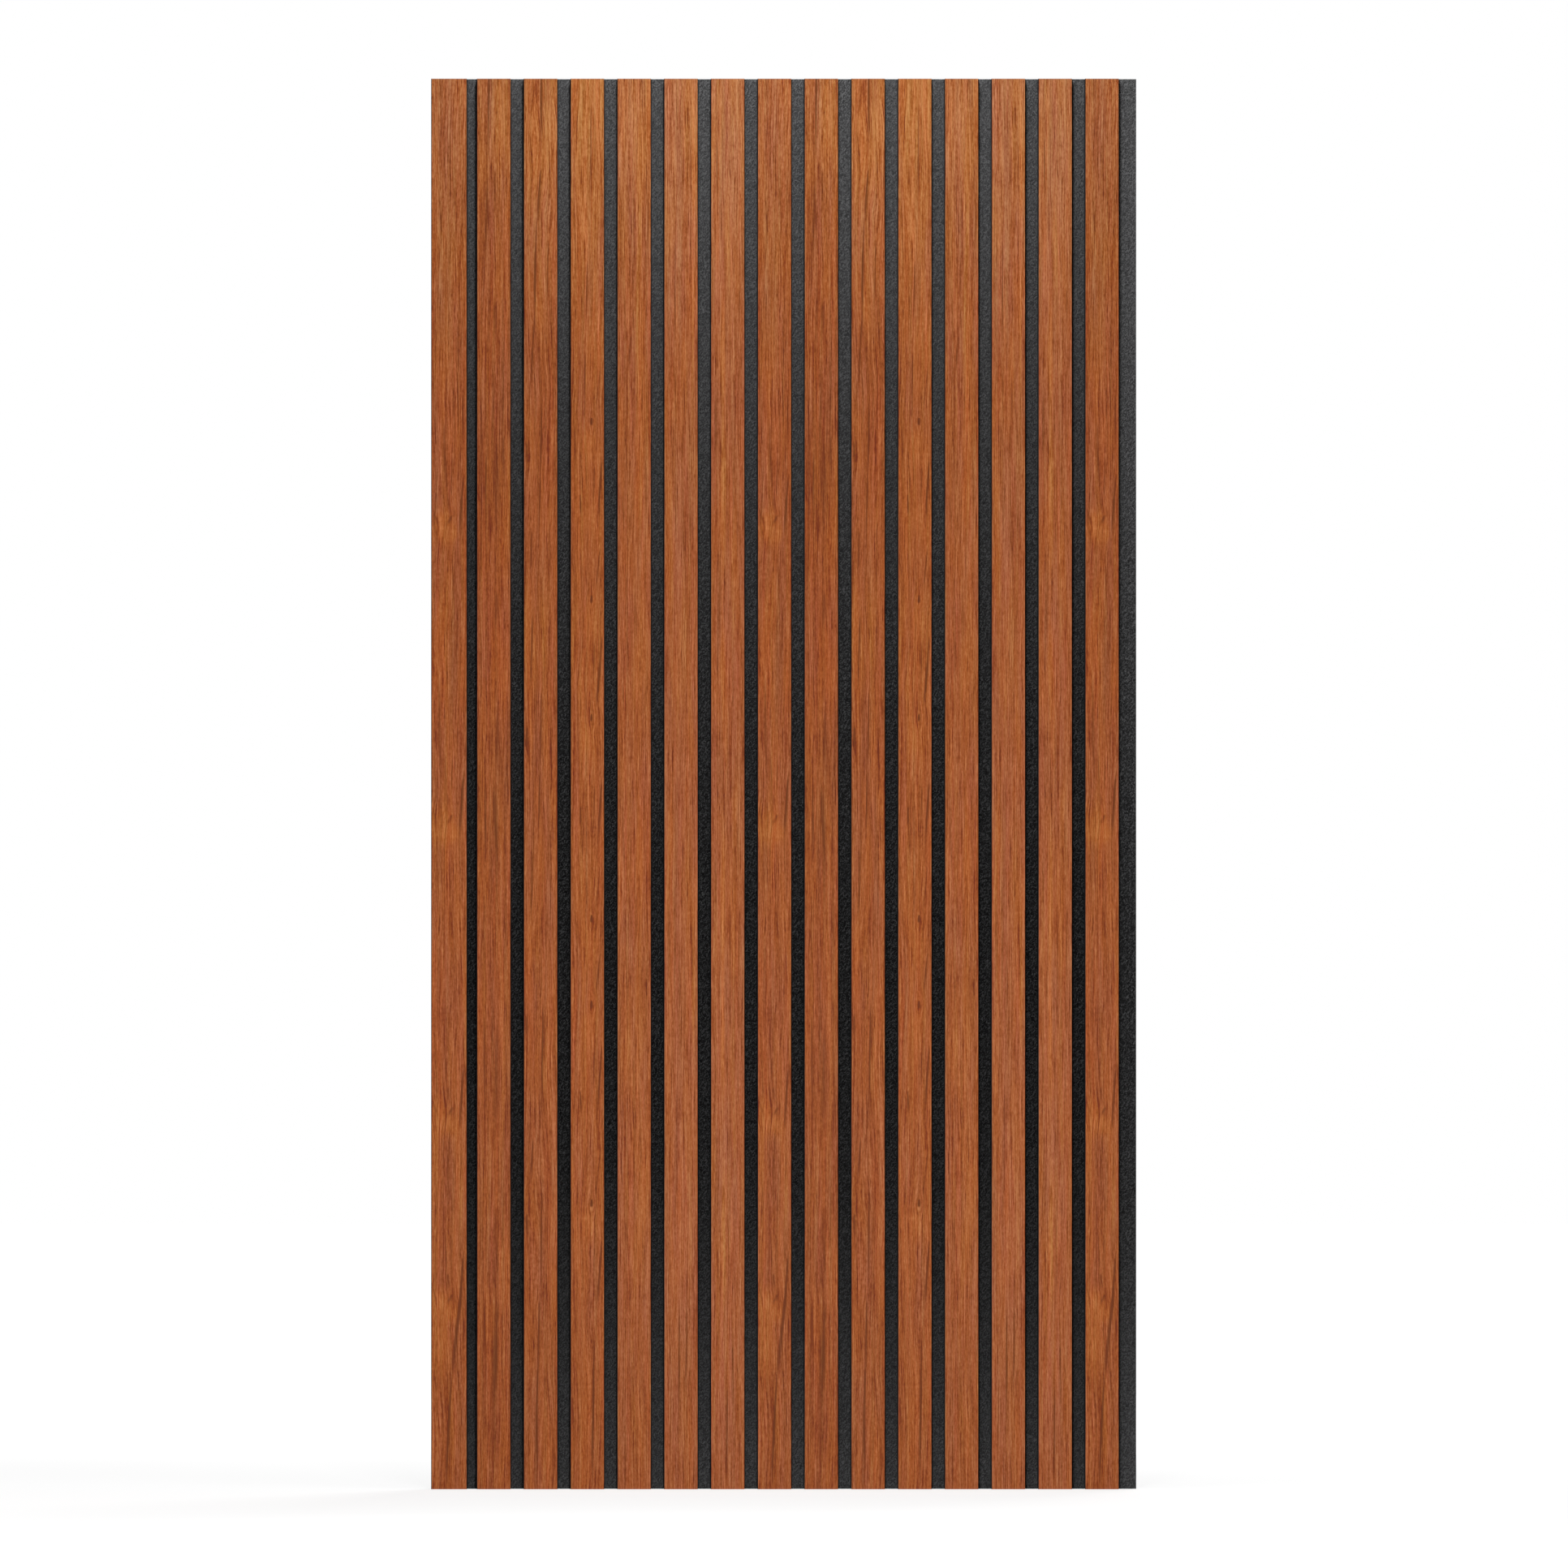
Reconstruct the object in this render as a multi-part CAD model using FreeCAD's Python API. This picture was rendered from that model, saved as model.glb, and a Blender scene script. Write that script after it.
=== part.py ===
# Acoustic slat wall panel: a row of upright slats on a board of black felt.
# Each slat is a fibreboard core with a thin wood facing glued to its front. The slats are glued
# and stapled to the felt, with the staples driven in from the back. Past the last slat the felt
# runs on as a bare tab, which carries the row of gaps over to the next panel.
#
# X runs across the panel to the right, Z up it, and Y from the room into the wall.
# The origin is the middle of the felt's back face, which lies against the wall.
import FreeCAD, Part
import os

# Driving dimensions, in millimetres
PANEL_HEIGHT = 1200.0

SLAT_COUNT = 15
SLAT_WIDTH = 28.7
SLAT_GAP = 11.1
EDGE_SLAT_WIDTH = 30.3       # the first slat, flush with the felt's left edge
EDGE_SLAT_GAP = 8.6          # from the first slat to the second
TAB_WIDTH = 15.0             # bare felt past the last slat

FELT_THICKNESS = 9.0
CORE_THICKNESS = 11.4
FACING_THICKNESS = 0.6
FACING_EASE = 0.4            # sanded radius on the facing's two long front edges
EASE_LIMIT = 0.9             # largest such radius, over the facing's thickness

STAPLES_PER_SLAT = 5
STAPLE_END_DISTANCE = 50.0   # from a slat's end to the middle of its first staple
CROWN_WIDTH = 10.0           # outside the legs, along the slat
CROWN_SINK = 0.8             # how far the crown is pulled into the felt
WIRE_WIDTH = 1.2
WIRE_THICKNESS = 0.9
BEND_FLAT = 0.6              # how far the flat outside each bend reaches along the crown and the leg
POINT_LENGTH = 1.6
POINT_COVER = 3.8            # fibreboard left between the points and the facing

# Planes and lengths that follow from them
ROW_WIDTH = EDGE_SLAT_WIDTH + EDGE_SLAT_GAP + (SLAT_COUNT - 1) * SLAT_WIDTH + (SLAT_COUNT - 2) * SLAT_GAP
PANEL_WIDTH = ROW_WIDTH + TAB_WIDTH
LEFT_EDGE = -PANEL_WIDTH / 2
BOTTOM = -PANEL_HEIGHT / 2
WALL_PLANE = 0.0
FELT_FRONT = WALL_PLANE - FELT_THICKNESS
CORE_FRONT = FELT_FRONT - CORE_THICKNESS
PANEL_FRONT = CORE_FRONT - FACING_THICKNESS
CROWN_TOP = WALL_PLANE - CROWN_SINK
CROWN_UNDERSIDE = CROWN_TOP - WIRE_THICKNESS
POINT_TIP = CORE_FRONT + POINT_COVER

V = FreeCAD.Vector


def slat_places():
    """Left edge and width of each slat, from left to right."""
    places = [(LEFT_EDGE, EDGE_SLAT_WIDTH)]
    left = LEFT_EDGE + EDGE_SLAT_WIDTH + EDGE_SLAT_GAP
    for _ in range(SLAT_COUNT - 1):
        places.append((left, SLAT_WIDTH))
        left += SLAT_WIDTH + SLAT_GAP
    return places


def staple_heights():
    """Heights of the staples up one slat, evenly spaced between its two end staples."""
    lowest = BOTTOM + STAPLE_END_DISTANCE
    spacing = (PANEL_HEIGHT - 2 * STAPLE_END_DISTANCE) / (STAPLES_PER_SLAT - 1)
    return [lowest + i * spacing for i in range(STAPLES_PER_SLAT)]


def extruded(points, direction):
    """The solid swept by the polygon through the points."""
    outline = Part.makePolygon(points + points[:1])
    return Part.Face(outline).extrude(direction)


def strip(left, width, back, front):
    """A square-edged strip, as high as the panel."""
    right = left + width
    section = [
        V(left, back, BOTTOM),
        V(right, back, BOTTOM),
        V(right, front, BOTTOM),
        V(left, front, BOTTOM),
    ]
    return extruded(section, V(0, 0, PANEL_HEIGHT))


def facing(left, width):
    """The wood facing of one slat, with its two long front edges eased."""
    blank = strip(left, width, CORE_FRONT, PANEL_FRONT)
    half_height = PANEL_HEIGHT / 2
    half_depth = (CORE_FRONT + PANEL_FRONT) / 2
    upright = [edge for edge in blank.Edges if edge.BoundBox.ZLength > half_height]
    front = [edge for edge in upright if edge.BoundBox.YMax < half_depth]
    return blank.makeFillet(min(FACING_EASE, EASE_LIMIT * FACING_THICKNESS), front)


def pointed_u(upper_corner):
    """A U of flat wire about the middle of its crown, with its legs pointing into the slat.
    The points of its upper corner are pairs of height and depth, from the crown to the leg."""
    outer = CROWN_WIDTH / 2
    inner = outer - WIRE_THICKNESS
    shoulder = POINT_TIP + POINT_LENGTH
    leg = [
        (outer, shoulder),
        ((outer + inner) / 2, POINT_TIP),
        (inner, shoulder),
        (inner, CROWN_UNDERSIDE),
    ]
    upper_half = upper_corner + leg
    lower_half = [(-height, depth) for height, depth in reversed(upper_half)]
    outline = [V(-WIRE_WIDTH / 2, depth, height) for height, depth in upper_half + lower_half]
    return extruded(outline, V(WIRE_WIDTH, 0, 0))


def staple():
    """One staple, with a flat across the outside of each bend."""
    end = CROWN_WIDTH / 2
    return pointed_u([(end - BEND_FLAT, CROWN_TOP), (end, CROWN_TOP - BEND_FLAT)])


def staple_seat():
    """What a staple takes from the felt and the core, with the slot its crown sinks into."""
    return pointed_u([(CROWN_WIDTH / 2, WALL_PLANE)])


def copies(shape, places):
    """One copy of the shape for each pair of X and Z."""
    moved = []
    for x, z in places:
        copy = shape.copy()
        copy.translate(V(x, 0, z))
        moved.append(copy)
    return moved


def export(name, shape):
    if not shape.isValid():
        raise ValueError(name + " is not a valid shape")
    shape.exportStep(os.path.join("parts", name + ".step"))


def main():
    os.makedirs("parts", exist_ok=True)
    seat = staple_seat()
    all_places = []
    for number, (left, width) in enumerate(slat_places(), start=1):
        places = [(left + width / 2, height) for height in staple_heights()]
        core = strip(left, width, FELT_FRONT, CORE_FRONT)
        export("slat_core_%02d" % number, core.cut(copies(seat, places)))
        export("slat_facing_%02d" % number, facing(left, width))
        all_places += places

    felt = strip(LEFT_EDGE, PANEL_WIDTH, WALL_PLANE, FELT_FRONT)
    export("felt_board", felt.cut(copies(seat, all_places)))
    export("staples", Part.Compound(copies(staple(), all_places)))


main()
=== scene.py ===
import math

import bmesh
import bpy
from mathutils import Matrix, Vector


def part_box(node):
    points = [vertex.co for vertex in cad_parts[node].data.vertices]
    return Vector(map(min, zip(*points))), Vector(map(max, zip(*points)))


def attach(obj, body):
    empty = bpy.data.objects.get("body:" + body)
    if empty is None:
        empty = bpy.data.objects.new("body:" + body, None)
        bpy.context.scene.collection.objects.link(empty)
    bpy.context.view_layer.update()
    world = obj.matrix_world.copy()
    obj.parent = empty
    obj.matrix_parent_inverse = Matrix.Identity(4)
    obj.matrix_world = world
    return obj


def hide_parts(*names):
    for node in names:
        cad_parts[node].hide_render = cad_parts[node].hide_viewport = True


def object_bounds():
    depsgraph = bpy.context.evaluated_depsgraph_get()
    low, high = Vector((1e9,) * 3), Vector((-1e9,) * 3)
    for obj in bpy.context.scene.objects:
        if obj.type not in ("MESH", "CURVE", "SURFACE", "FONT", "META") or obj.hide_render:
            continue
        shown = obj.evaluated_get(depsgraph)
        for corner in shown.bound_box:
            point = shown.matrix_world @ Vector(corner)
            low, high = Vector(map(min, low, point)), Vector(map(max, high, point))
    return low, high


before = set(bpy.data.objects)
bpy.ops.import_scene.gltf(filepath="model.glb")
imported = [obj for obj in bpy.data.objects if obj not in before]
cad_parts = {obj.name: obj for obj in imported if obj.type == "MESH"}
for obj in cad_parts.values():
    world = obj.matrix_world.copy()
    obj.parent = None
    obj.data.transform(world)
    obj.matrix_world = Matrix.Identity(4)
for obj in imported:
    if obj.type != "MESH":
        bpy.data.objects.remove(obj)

cad_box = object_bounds()

MM = 0.001
SLAT_COUNT = 15
USUAL_SLAT = 2               # the first slat is a little wider than the others
STAPLES_PER_SLAT = 5
STAPLE_END_DISTANCE = 50 * MM


def slat_node(kind, number):
    return "slat_%s_%02d" % (kind, number)


def new_object(name, mesh):
    """An object in the scene that takes over a finished bmesh."""
    data = bpy.data.meshes.new(name)
    mesh.to_mesh(data)
    mesh.free()
    made = bpy.data.objects.new(name, data)
    bpy.context.collection.objects.link(made)
    return made


# Nodes

# Places of the Mix node's share and two colours, and of the mixed colour, among its sockets for
# every kind of data
MIX_INPUTS = (0, 6, 7)
MIX_OUTPUT = 2
NOISE_SPAN = (0.3, 0.7)      # values between which nearly all of a noise lies
NOISE_MIDDLE = (0.35, 0.65)  # and between which most of it lies


class Graph:
    """The nodes of one material or node group, with a short call for each kind in use.
    It is called g where it is in use."""

    def __init__(self, tree):
        self.tree = tree

    def node(self, kind, *values, **settings):
        """A new node with these settings, its first inputs fed with the values in turn."""
        made = self.tree.nodes.new(kind)
        for name, setting in settings.items():
            setattr(made, name, setting)
        for socket, value in zip(made.inputs, values):
            self.feed(socket, value)
        return made

    def feed(self, socket, value):
        """Links an output to the socket, or sets the socket to a plain value."""
        if isinstance(value, bpy.types.NodeSocket):
            self.tree.links.new(value, socket)
        else:
            socket.default_value = value

    def math(self, operation, *values):
        return self.node("ShaderNodeMath", *values, operation=operation).outputs[0]

    def scaled(self, vector, scale, shift=(0, 0, 0)):
        """The vector times scale plus shift."""
        made = self.node("ShaderNodeVectorMath", vector, scale, shift, operation="MULTIPLY_ADD")
        return made.outputs[0]

    def total(self, values):
        result = values[0]
        for value in values[1:]:
            result = self.math("ADD", result, value)
        return result

    def split(self, vector):
        return self.node("ShaderNodeSeparateXYZ", vector).outputs

    def join(self, x, y, z):
        return self.node("ShaderNodeCombineXYZ", x, y, z).outputs[0]

    def noise(self, vector, detail=1.0, roughness=0.5):
        """Noise round 0.5, with one cell for each unit of the vector."""
        made = self.node("ShaderNodeTexNoise")
        self.feed(made.inputs["Vector"], vector)
        self.feed(made.inputs["Scale"], 1.0)
        self.feed(made.inputs["Detail"], detail)
        self.feed(made.inputs["Roughness"], roughness)
        return made.outputs[0]

    def centred(self, noise):
        return self.math("SUBTRACT", noise, 0.5)

    def smooth(self, value, start, end, low=0.0, high=1.0):
        """A smooth step from low at start to high at end."""
        limits = (start, end, low, high)
        made = self.node("ShaderNodeMapRange", value, *limits, interpolation_type="SMOOTHSTEP")
        return made.outputs[0]

    def ramp(self, value, stops):
        """A colour ramp through pairs of a place and a colour."""
        made = self.node("ShaderNodeValToRGB", value)
        elements = made.color_ramp.elements
        while len(elements) < len(stops):
            elements.new(0.5)
        for element, (place, colour) in zip(elements, stops):
            element.position = place
            element.color = colour
        return made.outputs[0]

    def mix(self, share, first, second):
        """The first colour at share 0, the second at share 1."""
        made = self.node("ShaderNodeMix", data_type="RGBA")
        for place, value in zip(MIX_INPUTS, (share, first, second)):
            self.feed(made.inputs[place], value)
        return made.outputs[MIX_OUTPUT]

    def bump(self, height, distance):
        """A bump from a height between 0 and 1, over a distance in metres."""
        made = self.node("ShaderNodeBump")
        self.feed(made.inputs["Height"], height)
        self.feed(made.inputs["Distance"], distance)
        return made.outputs[0]

    def group(self, tree, *values):
        return self.node("ShaderNodeGroup", *values, node_tree=tree).outputs


def new_group(name, inputs, outputs):
    """An empty node group: its graph, what it is given, and the sockets of its results."""
    tree = bpy.data.node_groups.new(name, "ShaderNodeTree")
    for socket in inputs:
        tree.interface.new_socket(socket, in_out="INPUT", socket_type="NodeSocketFloat")
    for socket in outputs:
        tree.interface.new_socket(socket, in_out="OUTPUT", socket_type="NodeSocketFloat")
    graph = Graph(tree)
    return graph, graph.node("NodeGroupInput").outputs, graph.node("NodeGroupOutput").inputs


def new_material(name):
    """A material with its graph and the sockets of its surface shader."""
    material = bpy.data.materials.new(name)
    material.use_nodes = True
    shader = material.node_tree.nodes["Principled BSDF"]
    return material, Graph(material.node_tree), shader.inputs


def linear(shown):
    """The linear value of a colour's channel, given as it shows on a screen, 0 to 255."""
    value = shown / 255
    return value / 12.92 if value <= 0.04045 else ((value + 0.055) / 1.055) ** 2.4


# Wood facings

# Tone goes from 0, the darkest streaks, to 1, and each ramp has a tan and a rose version. The
# colours are given as they show on a screen.
TAN_WOOD = [
    (0.0, (112, 47, 7)),
    (0.25, (139, 69, 23)),
    (0.5, (163, 90, 43)),
    (0.75, (182, 111, 61)),
    (1.0, (197, 129, 78)),
]
ROSE_WOOD = [
    (0.0, (102, 45, 19)),
    (0.25, (130, 66, 35)),
    (0.5, (155, 87, 55)),
    (0.75, (174, 108, 72)),
    (1.0, (189, 126, 89)),
]
STREAK_BROWN = (106, 56, 26)
EDGE_SHADE_BROWN = (36, 22, 16)     # painted shade along the two long edges
LEFT_EDGE_SHADE = (0.3, 0.7)        # distances from the edge over which the wood takes over, in mm
RIGHT_EDGE_SHADE = (0.05, 0.3)

WOOD_GLOSS = 0.2             # specular level
WOOD_VEIL = 0.013            # white that this gloss adds to the wood's colour, seen from the front
WOOD_DARKEST = 0.001         # least value of a colour's channel once the veil is off
WOOD_ROUGHNESS = (0.62, 0.46)  # at tone 0 and at tone 1
WOOD_RELIEF = 0.05 * MM
PORE_RELIEF = 0.7            # depth of a pore as a share of the relief

PAINTED_LIGHT_HEIGHTS = (890.0, 1200.0)  # heights over which painted light on all the facings grows towards the top, in mm
PAINTED_TOP_LIFT = 22.5              # how much lighter painted light makes them at the top, in screen levels
PAINTED_TOP_SWING = 1.3              # how many times as much their tone varies there, as painted light
PAINTED_TOP_GOLD = 1.08              # and how many times as much green and blue the painted light gives them

BASE_LEVEL = 0.3             # level of all the designs above the middle tone, in screen levels
TONE_SPAN = 140.0            # screen levels from tone 0 to tone 1
HUE_SWING = 1.9              # how far noise moves the share of rose
RED_SWING = 0.29             # how far fine lines turn from green to red, as a share of both
PATCH_TAN = 0.045            # rose that a light patch takes away, for each screen level of its lift

# Noise scales in cells for each mm across, deep and up, and how far they move the grain, in mm
SWAY_SCALE = (0.04, 1, 0.006)
SWAY_REACH = 7.0
RIPPLE_SCALE = (0.1, 1, 0.022)
RIPPLE_REACH = 1.3
DESIGN_STEP = 50.0           # depth in the noise from one design to the next, in mm

# The layers of grain: period across and along the slat in mm, and how many screen levels they
# swing by
GRAIN_LAYERS = [
    (26.0, 420.0, 15.0),
    (8.0, 600.0, 36.0),
    (4.0, 160.0, 22.0),
    (2.2, 140.0, 44.0),
    (1.1, 110.0, 70.0),
    (0.8, 50.0, 86.0),
    (0.55, 26.0, 104.0),
    (1.5, 7.0, 40.0),
    (0.7, 6.0, 84.0),
    (1.3, 2.6, 52.0),
]
GRAIN_ROUGHNESS = 0.55       # of the noise
GRAIN_STEP = (11.0, 0, 5.0)  # shift from one layer to the next, so that no two are alike
# Fine dark lines: period across and along in mm, half width as a share of the noise, and depth
LINE_LAYERS = [
    (3.4, 300.0, 0.02, 42.0),
    (1.9, 160.0, 0.024, 36.0),
]
LINE_START = (3.0, 2.0, 0.0)
LINE_STEP = (7.0, 0.0, 9.0)

# Noise for the gaps in the fine lines, and for further marks: period across and along the slat in
# mm, and shift. A cut gives the values of the noise between which the lines or marks come up.
LINE_GAPS = (2.5, 38)
LINE_GAP_CUT = (0.44, 0.6)
SLENDER_STREAKS = (1.2, 38, (3, 9, 2))
SLENDER_CUT = (0.56, 0.72)
BROAD_BANDS = (7, 170, (5, 1, 8))
BAND_CUT = (0.5, 0.72)
PORES = (0.42, 5.5, (1, 4, 6))
PORE_CUT = (0.6, 0.74)
ROSE_CLOUDS = (8, 110, (2, 6, 4))
RED_LINES = (2.6, 160, (8, 2, 7))

# How much darker and browner the marks make the wood: depths in screen levels, and shares of brown
SLENDER_DEPTH = 38.0
PORE_DEPTH = 16.0
MARK_SHARE = 0.7             # how much of its depth a design's own streak takes off the tone
FRAY_CUT = (0.3, 0.6)
FRAY = (0.55, 1.15)          # least and greatest strength of those streaks along the grain
MOST_BROWN = 0.85
MOST_BROWN_DEPTH = 42.0      # depth at which a streak is as brown as that
BAND_BROWN = 0.022           # for each screen level of the broad bands' depth
SLENDER_BROWN = 0.08

STREAK_START = 0.6           # half width where a streak starts, as a share of the given one
STREAK_WIDENING = 0.9        # how much that share grows by where it ends
STREAK_REACH = 1.5           # half widths from its middle to where it has faded away
STREAK_RISE = 0.2            # share of its length over which it comes up
STREAK_FADE = 0.4            # share of its length after which it begins to fade


class Design:
    """One of the facings' grain designs, which come round again every few slats. The places of its
    marks are in mm from the slat's lower left corner, and some marks run past the slat's ends."""

    def __init__(self, name, tone, rose, wave, bands, streaks, patches, knots=()):
        self.name = name
        self.tone = tone         # shift in screen levels
        self.rose = rose         # share of rose against tan
        self.wave = wave         # how much the grain sways
        self.bands = bands       # depth of the broad dark bands, in screen levels
        self.streaks = streaks   # from (across, up) to (across, up), half width, depth
        self.patches = patches   # lighter tan patches: across, up, reach across, reach up, lift
        self.knots = knots       # across, up, reach across, reach up, push


def swirl_design():
    """Grain that curls round a light patch beside the left edge, four times up the slat."""
    streaks = []
    knots = []
    patches = []
    for up in (822, 567, 318, 159):
        streaks += [
            ((26.4, up + 46), (21.8, up - 26), 1.1, 50),
            ((17.4, up + 60), (15.6, up + 12), 0.6, 24),
            ((10.6, up + 66), (13.2, up + 12), 0.6, 24),
            ((13.4, up + 26), (14.4, up + 6), 1.4, 20),
            ((17.6, up + 8), (12.0, up - 4), 1.7, 26),
            ((0.4, up + 16), (7.4, up - 10), 1.0, 18),
        ]
        knots.append((6.5, up + 3, 9.0, 14.0, 0.5))
        patches.append((8.0, up - 3, 7.0, 12.0, 22))
        patches.append((16.5, up - 9, 5.0, 6.0, 15))
    patches.append((8.0, 122, 7.0, 26.0, 12))
    streaks += [
        ((9.2, 1240), (8.2, 1110), 1.0, 24),
        ((10.4, 915), (10.9, 840), 1.4, 22),
        ((26.2, 940), (25.4, 870), 1.2, 22),
        ((6.2, 700), (7.4, 590), 1.3, 20),
        ((6.5, 470), (5.6, 380), 1.2, 20),
        ((24.3, 172), (15.2, 80), 1.5, 60),
        ((16.6, 102), (10.0, -30), 1.2, 42),
    ]
    return Design("wood_swirl", tone=-6, rose=0.5, wave=1.2, bands=5,
                  streaks=streaks, patches=patches, knots=knots)


def banded_design():
    """The darkest slat, with a dark line at the top and soft brown bands right of its middle."""
    streaks = [
        ((11.3, 1290), (9.2, 1100), 1.1, 48),
        ((9.0, 1120), (7.2, 1030), 0.9, 28),
        ((15.2, 1130), (15.6, 1068), 4.0, 15),
        ((15.2, 1015), (16.0, 958), 3.4, 17),
        ((16.4, 905), (15.6, 790), 3.0, 24),
        ((17.0, 768), (17.2, 718), 2.6, 22),
        ((17.8, 668), (17.4, 582), 2.8, 24),
        ((15.0, 605), (16.8, 510), 3.0, 28),
        ((16.8, 402), (16.4, 272), 2.8, 26),
        ((16.0, 248), (16.4, 138), 2.6, 24),
        ((17.8, 168), (14.0, 50), 2.6, 34),
        ((7.8, 892), (7.2, 795), 1.1, 32),
        ((6.8, 605), (7.8, 528), 1.2, 34),
        ((6.2, 415), (7.0, 285), 1.1, 30),
        ((6.4, 170), (7.4, 70), 1.2, 32),
        ((22.4, 900), (22.2, 850), 1.0, 26),
    ]
    patches = [(19.0, 1165, 6.0, 40.0, 8)]
    return Design("wood_banded", tone=-9, rose=0.46, wave=0.6, bands=9,
                  streaks=streaks, patches=patches)


def wavy_design():
    """A wavy light figure at the top, and a dark line that wanders down the whole slat."""
    streaks = [
        ((15.2, 1270), (14.6, 1108), 1.1, 46),
        ((14.9, 1128), (10.8, 1068), 1.1, 46),
        ((11.0, 1086), (9.6, 1000), 1.0, 34),
        ((9.9, 1062), (9.1, 975), 1.0, 44),
        ((9.4, 1002), (5.0, 918), 1.0, 38),
        ((21.2, 1068), (19.4, 996), 0.9, 36),
        ((15.6, 930), (14.0, 840), 0.8, 42),
        ((14.2, 866), (12.8, 796), 0.8, 38),
        ((7.0, 822), (5.8, 762), 1.1, 32),
        ((7.6, 750), (5.8, 664), 0.9, 38),
        ((15.2, 686), (13.8, 596), 0.9, 38),
        ((13.7, 614), (12.4, 540), 0.8, 42),
        ((7.3, 550), (6.2, 455), 1.1, 32),
        ((16.9, 430), (14.6, 290), 0.9, 38),
        ((8.4, 304), (5.0, 250), 1.1, 32),
        ((15.4, 262), (14.6, 146), 0.9, 38),
        ((13.4, 170), (12.0, 86), 1.0, 42),
        ((11.9, 112), (10.4, -30), 1.4, 50),
    ]
    for up in (880, 638, 393, 224):
        streaks.append(((2.8, up + 13), (2.4, up - 13), 1.4, 32))
    knots = [
        (9.0, 1150, 6.0, 22.0, 0.6),
        (21.0, 1090, 6.0, 20.0, 0.6),
        (3.0, 880, 5.0, 14.0, 0.5),
        (3.0, 638, 5.0, 14.0, 0.5),
    ]
    patches = [
        (21.0, 1150, 6.0, 36.0, 12),
        (8.0, 1140, 6.0, 34.0, 12),
        (15.0, 1020, 4.0, 30.0, 10),
    ]
    return Design("wood_wavy", tone=-4, rose=0.45, wave=1.8, bands=5,
                  streaks=streaks, patches=patches, knots=knots)


def pin_knot_design():
    """Pin knots up the slat, with slanting dark streaks between them beside the right edge."""
    streaks = []
    knots = []
    patches = []
    for up in (908, 757, 656, 485, 412, 243):
        streaks.append(((18.0, up + 4), (17.8, up - 4), 0.9, 110))
        streaks.append(((26.0, up + 50), (20.4, up - 2), 0.7, 28))
        knots.append((17.8, up, 4.5, 10.0, 0.7))
        patches.append((16.0, up - 19, 6.0, 14.0, 10))
    for up in (843, 694, 571, 345, 180):
        streaks.append(((27.0, up + 38), (22.2, up - 38), 1.1, 46))
        streaks.append(((20.6, up + 32), (19.4, up - 14), 0.7, 28))
    for up in (836, 571, 329):
        streaks.append(((8.4, up + 12), (8.8, up - 12), 0.8, 42))
    streaks += [
        ((17.6, 1190), (17.0, 1050), 0.9, 26),
        ((14.5, 1050), (13.5, 990), 0.9, 28),
        ((12.6, 970), (11.4, 900), 1.0, 32),
        ((20.4, 140), (18.0, -25), 1.0, 44),
    ]
    patches.append((12.0, 1170, 16.0, 110.0, 10))
    return Design("wood_pin_knots", tone=-3, rose=0.34, wave=1.5, bands=4,
                  streaks=streaks, patches=patches, knots=knots)


def even_design():
    """Soft bands, reddish left of the middle and golden right of it."""
    streaks = [
        ((12.4, 985), (8.0, 940), 1.3, 24),
        ((4.2, 850), (5.8, 812), 0.8, 24),
        ((4.4, 690), (6.2, 650), 0.8, 24),
        ((4.0, 576), (6.6, 518), 0.8, 24),
        ((3.8, 286), (5.0, 240), 0.8, 24),
        ((26.6, 1105), (26.2, 1040), 0.9, 22),
    ]
    patches = [
        (20.0, 1130, 3.0, 70.0, 10),
        (19.0, 960, 3.0, 60.0, 9),
        (20.0, 870, 3.4, 50.0, 9),
        (19.0, 690, 3.6, 60.0, 9),
        (19.0, 520, 3.0, 60.0, 9),
        (18.0, 380, 3.4, 50.0, 9),
        (19.0, 230, 3.6, 70.0, 9),
    ]
    return Design("wood_even", tone=0, rose=0.5, wave=0.5, bands=3,
                  streaks=streaks, patches=patches)


def lined_design():
    """Straight grain with thin golden lines beside both edges."""
    streaks = [
        ((9.6, 1070), (9.2, 950), 0.8, 28),
        ((17.2, 950), (16.6, 860), 0.8, 24),
        ((11.2, 345), (10.6, 240), 0.8, 22),
        ((13.2, 160), (12.4, 40), 0.9, 32),
        ((19.4, 165), (18.4, 50), 0.9, 30),
    ]
    patches = [
        (25.0, 1125, 1.3, 55.0, 14),
        (24.6, 975, 1.3, 55.0, 14),
        (4.5, 820, 2.6, 70.0, 8),
        (4.0, 555, 2.4, 60.0, 8),
        (25.0, 410, 1.4, 60.0, 12),
    ]
    return Design("wood_lined", tone=4, rose=0.56, wave=0.5, bands=4,
                  streaks=streaks, patches=patches)


def straight_design():
    """Straight grain with a broken golden line left of its middle."""
    streaks = [
        ((5.2, 1150), (5.7, 1080), 0.8, 28),
        ((24.5, 1025), (24.0, 985), 0.8, 26),
        ((4.2, 940), (3.8, 860), 1.2, 22),
        ((14.4, 95), (13.4, -20), 0.9, 32),
        ((18.4, 130), (18.9, 50), 1.6, 22),
    ]
    patches = [(10.5, up, 1.6, 52.0, 15) for up in (970, 850, 700, 510, 400, 230)]
    return Design("wood_straight", tone=4, rose=0.58, wave=0.4, bands=4,
                  streaks=streaks, patches=patches)


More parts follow.
